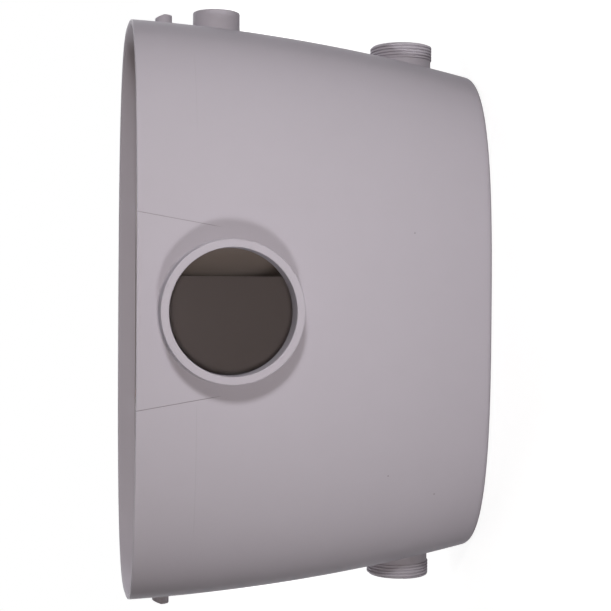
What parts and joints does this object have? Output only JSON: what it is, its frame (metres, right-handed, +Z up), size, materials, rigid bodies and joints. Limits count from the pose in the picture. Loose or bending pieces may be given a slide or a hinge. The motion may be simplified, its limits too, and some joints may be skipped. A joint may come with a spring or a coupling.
{
  "type": "macerator toilet pump",
  "caption": "Moulded macerator tank with its lid off: toilet spigot, threaded side ports and discharge spigot, with a cutter pump, motor, flap valves and level switch inside",
  "frame": {"origin": "Centre of the tank base, on the floor", "axes": "+X towards the discharge end, +Y towards the back, away from the toilet spigot, +Z up"},
  "size_m": [0.4458, 0.1895, 0.261],
  "materials": {
    "tank_plastic": "satin moulded",
    "cover_plastic": "moulded",
    "dark_plastic": "moulded",
    "rubber": "matt",
    "steel": "machined",
    "laminations": "laminated",
    "shield_metal": "die cast",
    "copper_wire": "enamelled",
    "impeller_plastic": "moulded",
    "white_plastic": "moulded",
    "screw_brass": "turned",
    "red_plastic": "moulded",
    "lead_insulation": "extruded"
  },
  "bodies": {
    "tank": {"tub": "tank_plastic", "cover_gasket": "rubber", "inner_cover": "cover_plastic", "motor_well": "cover_plastic", "electrics_tray": "cover_plastic", "cover_screws": "steel", "vent_filter": "dark_plastic", "motor_mount": "rubber", "motor_lower_shield": "shield_metal", "motor_upper_shield": "shield_metal", "stator_core": "laminations", "stator_windings": "copper_wire", "motor_bolts": "steel", "lower_bearing": "steel", "upper_bearing": "steel", "shaft_seal": "rubber", "volute_casing": "dark_plastic", "volute_cover": "dark_plastic", "pump_screws": "steel", "cutter_ring": "steel", "discharge_hose": "rubber", "hose_clips": "steel", "valve_body": "dark_plastic", "outlet_seal": "rubber", "valve_flap_pin": "steel", "left_flap_frame": "dark_plastic", "left_flap_pin": "steel", "right_flap_frame": "dark_plastic", "right_flap_pin": "steel", "pressure_tube": "dark_plastic", "diaphragm": "rubber", "switch_cap": "dark_plastic", "switch_screws": "steel", "microswitch": "dark_plastic", "capacitor": "white_plastic", "capacitor_clip": "dark_plastic", "terminal_block": "white_plastic", "terminal_screws": "screw_brass", "lead_wires": "lead_insulation"},
    "rotor": {"motor_shaft": "steel", "rotor_core": "laminations", "impeller": "impeller_plastic", "cutter_blade": "steel", "cutter_nut": "steel"},
    "valve_flap": {"valve_flap": "rubber"},
    "left_flap": {"left_flap": "rubber"},
    "right_flap": {"right_flap": "rubber"},
    "actuator": {"actuator_pin": "impeller_plastic"},
    "lever": {"microswitch_lever": "steel"},
    "button": {"microswitch_button": "red_plastic"}
  },
  "joints": [
    {"name": "rotor_spin", "type": "hinge", "parent": "tank", "child": "rotor", "pos_m": [0.08027, 0, 0.06], "axis": [0, 0, 1], "continuous": true},
    {"name": "valve_flap_swing", "type": "hinge", "parent": "tank", "child": "valve_flap", "pos_m": [0.17407, 0, 0.2078], "axis": [0, -1, 0], "range_deg": [0, 55]},
    {"name": "left_flap_swing", "type": "hinge", "parent": "tank", "child": "left_flap", "pos_m": [-0.1702, 0, 0.0735], "axis": [0, -1, 0], "range_deg": [0, 45]},
    {"name": "right_flap_swing", "type": "hinge", "parent": "tank", "child": "right_flap", "pos_m": [0.1702, 0, 0.0735], "axis": [0, 1, 0], "range_deg": [0, 45]},
    {"name": "actuator_lift", "type": "slide", "parent": "tank", "child": "actuator", "axis": [0, 0, 1], "range_m": [0, 0.003], "stiffness_N_per_m": 300},
    {"name": "lever_tilt", "type": "hinge", "parent": "tank", "child": "lever", "pos_m": [-0.12573, 0, 0.2127], "axis": [0, -1, 0], "range_deg": [0, 16]},
    {"name": "button_press", "type": "slide", "parent": "tank", "child": "button", "axis": [0, 0, 1], "range_m": [0, 0.002]}
  ],
  "couplings": [
    {"joint": "lever_tilt", "follows": "actuator_lift", "rad_per_m": 87},
    {"joint": "button_press", "follows": "actuator_lift", "ratio": 0.6}
  ]
}
